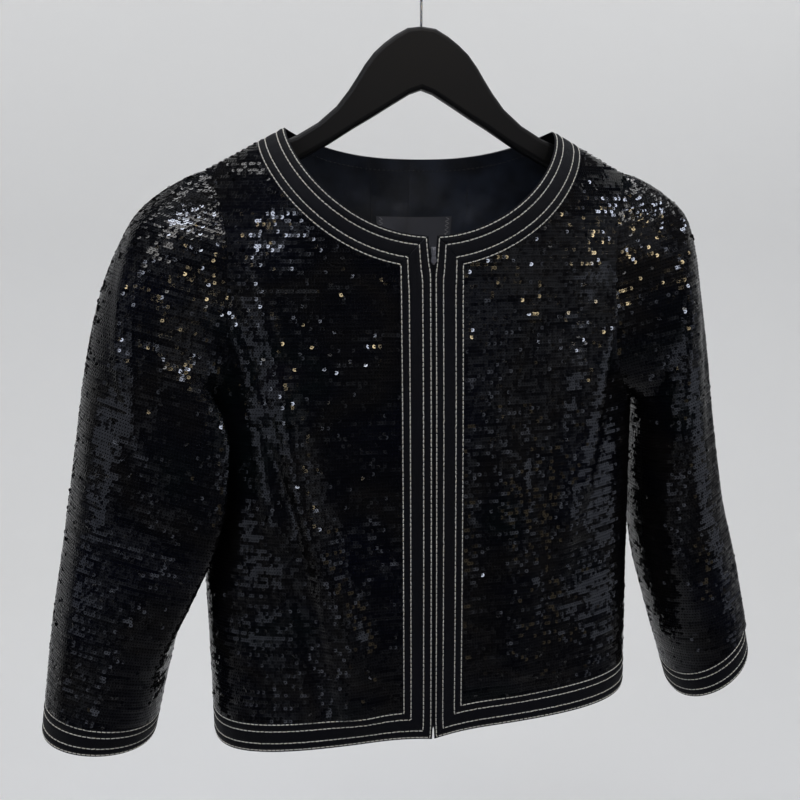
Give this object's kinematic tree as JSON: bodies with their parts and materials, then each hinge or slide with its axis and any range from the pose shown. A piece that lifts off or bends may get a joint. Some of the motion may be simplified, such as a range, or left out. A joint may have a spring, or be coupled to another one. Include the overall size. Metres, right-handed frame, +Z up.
{
  "type": "cropped jacket",
  "caption": "Cropped collarless jacket in black sequins with smooth edge bands, a front zip and bracelet sleeves, hanging on a broad hanger.",
  "frame": {"origin": "inner crown of the hanger's hook, where it rests on a rail", "axes": "+Z up, the front of the jacket faces -Y, +X is the viewer's right"},
  "size_m": [0.6737, 0.1458, 0.7011],
  "materials": {
    "sequinned_cloth": "black cloth covered in small flat black sequins",
    "navy_band": "fine matt navy-black twill",
    "lining": "smooth dark navy lining",
    "label_cloth": "dark grey woven label, blank",
    "zip_tape": "black woven tape",
    "zip_metal": "dark grey metal",
    "hanger_plastic": "satin black",
    "hook_wire": "polished wire"
  },
  "bodies": {
    "jacket": {"front_left": "sequinned_cloth", "front_right": "sequinned_cloth", "back": "sequinned_cloth", "sleeve_left_upper": "sequinned_cloth", "sleeve_left_under": "sequinned_cloth", "sleeve_right_upper": "sequinned_cloth", "sleeve_right_under": "sequinned_cloth", "neck_band_left": "navy_band", "neck_band_right": "navy_band", "neck_band_back": "navy_band", "front_band_left": "navy_band", "front_band_right": "navy_band", "hem_band_left": "navy_band", "hem_band_right": "navy_band", "hem_band_back": "navy_band", "cuff_band_left": "navy_band", "cuff_band_right": "navy_band", "back_facing": "lining", "neck_label": "label_cloth", "zip_tape_left": "zip_tape", "zip_tape_right": "zip_tape", "zip_slider": "zip_metal", "hanger_body": "hanger_plastic", "hanger_hook": "hook_wire"},
    "pull": {"zip_pull": "zip_metal"}
  },
  "joints": [
    {"name": "pull_swing", "type": "hinge", "parent": "jacket", "child": "pull", "pos_m": [0, -0.07531, -0.2563], "axis": [-1, 0, 0], "range_deg": [0, 150]}
  ]
}
